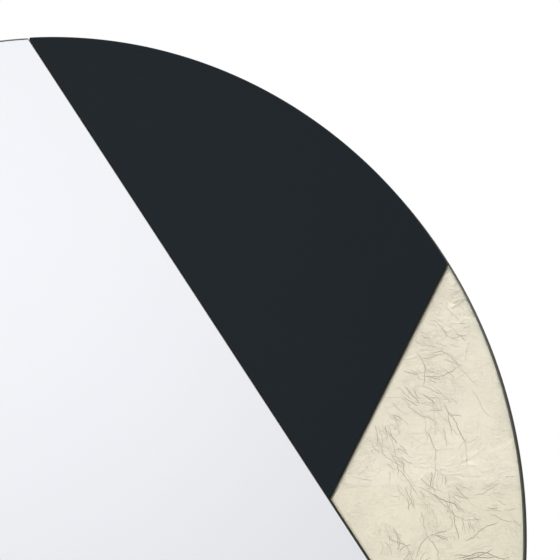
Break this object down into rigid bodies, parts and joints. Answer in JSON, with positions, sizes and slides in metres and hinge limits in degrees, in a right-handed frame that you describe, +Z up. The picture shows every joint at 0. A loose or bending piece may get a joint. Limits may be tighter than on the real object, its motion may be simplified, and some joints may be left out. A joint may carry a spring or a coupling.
{
  "type": "round wall mirror",
  "caption": "Round frameless wall mirror of clear mirror, black glass and metal-leaf glass panels on a backing board, hung on an interlocking aluminium rail.",
  "frame": {"origin": "on the wall plane, midway between the two screw holes of the wall rail", "axes": "+Z up, +X to the right of someone facing the mirror, -Y out of the wall towards the room"},
  "size_m": [0.9999, 0.0275, 1.0006],
  "materials": {
    "mirror_glass": "polished float glass, silvered behind",
    "black_glass": "polished black back-painted glass",
    "leaf_glass": "clear polished float glass",
    "metal_leaf": "creased pale champagne metal leaf",
    "safety_film": "matt grey film",
    "foam_tape": "white closed-cell foam tape",
    "silicone": "neutral-cure mirror silicone",
    "black_board": "black-faced medium-density fibreboard",
    "edge_band": "black plastic edge band",
    "rail_aluminium": "mill-finish extrusion",
    "zinc_screw": "bright zinc plate",
    "hardboard": "smooth brown hardboard",
    "pad_rubber": "matt black rubber",
    "stop_plastic": "fine-textured black moulding"
  },
  "bodies": {
    "wall_mount": {"wall_rail": "rail_aluminium", "left_rail_stop": "stop_plastic", "right_rail_stop": "stop_plastic"},
    "mirror_panel": {"mirror_glass": "mirror_glass", "black_glass": "black_glass", "leaf_glass": "leaf_glass", "leaf_sheet": "metal_leaf", "mirror_safety_film": "safety_film", "black_safety_film": "safety_film", "leaf_safety_film": "safety_film", "mirror_tape": "foam_tape", "black_tape": "foam_tape", "leaf_tape": "foam_tape", "mirror_adhesive": "silicone", "black_adhesive": "silicone", "leaf_adhesive": "silicone", "backing_board": "black_board", "edge_band": "edge_band", "panel_rail": "rail_aluminium", "panel_rail_screws": "zinc_screw", "spacer_batten": "hardboard", "batten_screws": "zinc_screw", "wall_pads": "pad_rubber"}
  },
  "joints": [
    {"name": "lift_off", "type": "slide", "parent": "wall_mount", "child": "mirror_panel", "axis": [0, 0, 1], "range_m": [0, 0.015]}
  ]
}
